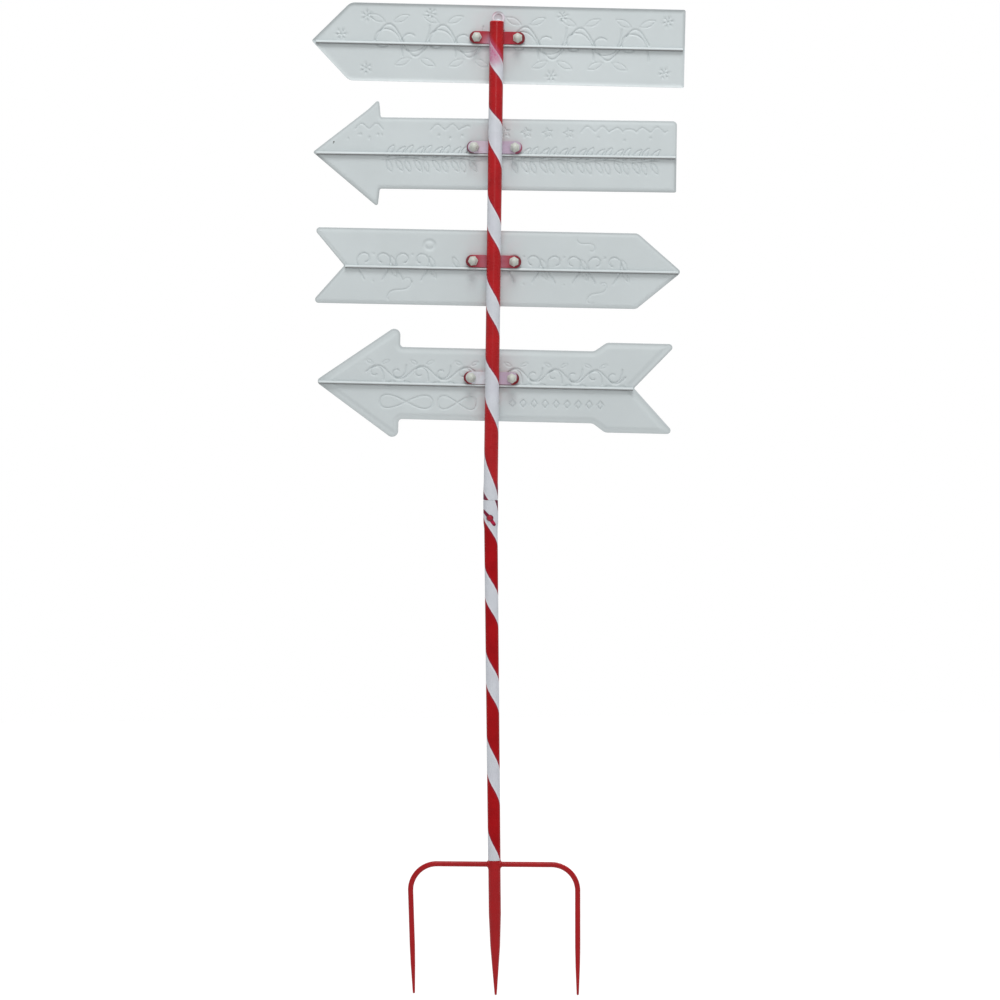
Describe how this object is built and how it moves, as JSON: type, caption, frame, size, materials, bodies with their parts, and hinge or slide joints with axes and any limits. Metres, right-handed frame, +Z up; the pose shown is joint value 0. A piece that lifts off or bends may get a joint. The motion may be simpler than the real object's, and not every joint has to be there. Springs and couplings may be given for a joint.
{
  "type": "christmas signpost",
  "caption": "Striped tube post on a pronged ground fork, carrying pressed sheet arrow and banner signs bolted to straps, with a hanging eye at the top.",
  "frame": {"origin": "on the lower pole's axis at the shoulder of the ground spike, where the fork meets the ground", "axes": "+Z up along the lower pole, +X to the right as the backs of the signs are seen, +Y to the front of the signs"},
  "size_m": [0.4233, 0.0264, 1.1257],
  "materials": {
    "red_paint": "satin",
    "white_paint": "satin",
    "sheet_paint": "satin",
    "strap_paint": "satin",
    "nut_paint": "satin",
    "bare_steel": "drawn"
  },
  "bodies": {
    "root": {"upper_pole": "red_paint", "lower_pole": "red_paint", "joint_sleeve": "bare_steel", "joint_rivet": "red_paint", "top_cap": "red_paint", "hanging_eye": "white_paint", "centre_spike": "red_paint", "fork_bar": "red_paint", "fork_weld_left": "red_paint", "fork_weld_right": "red_paint", "upper_stripe": "white_paint", "lower_stripe": "white_paint", "sign1_sheet": "sheet_paint", "sign1_rod": "sheet_paint", "sign1_strap": "strap_paint", "sign2_sheet": "sheet_paint", "sign2_rod": "sheet_paint", "sign2_strap": "strap_paint", "sign3_sheet": "sheet_paint", "sign3_rod": "sheet_paint", "sign3_strap": "strap_paint", "sign4_sheet": "sheet_paint", "sign4_rod": "sheet_paint", "sign4_strap": "strap_paint", "sign1_bolt_left": "nut_paint", "sign1_bolt_right": "nut_paint", "sign1_nut_left": "nut_paint", "sign1_nut_right": "nut_paint", "sign2_bolt_left": "nut_paint", "sign2_bolt_right": "nut_paint", "sign2_nut_left": "nut_paint", "sign2_nut_right": "nut_paint", "sign3_bolt_left": "nut_paint", "sign3_bolt_right": "nut_paint", "sign3_nut_left": "nut_paint", "sign3_nut_right": "nut_paint", "sign4_bolt_left": "nut_paint", "sign4_bolt_right": "nut_paint", "sign4_nut_left": "nut_paint", "sign4_nut_right": "nut_paint"}
  },
  "joints": []
}
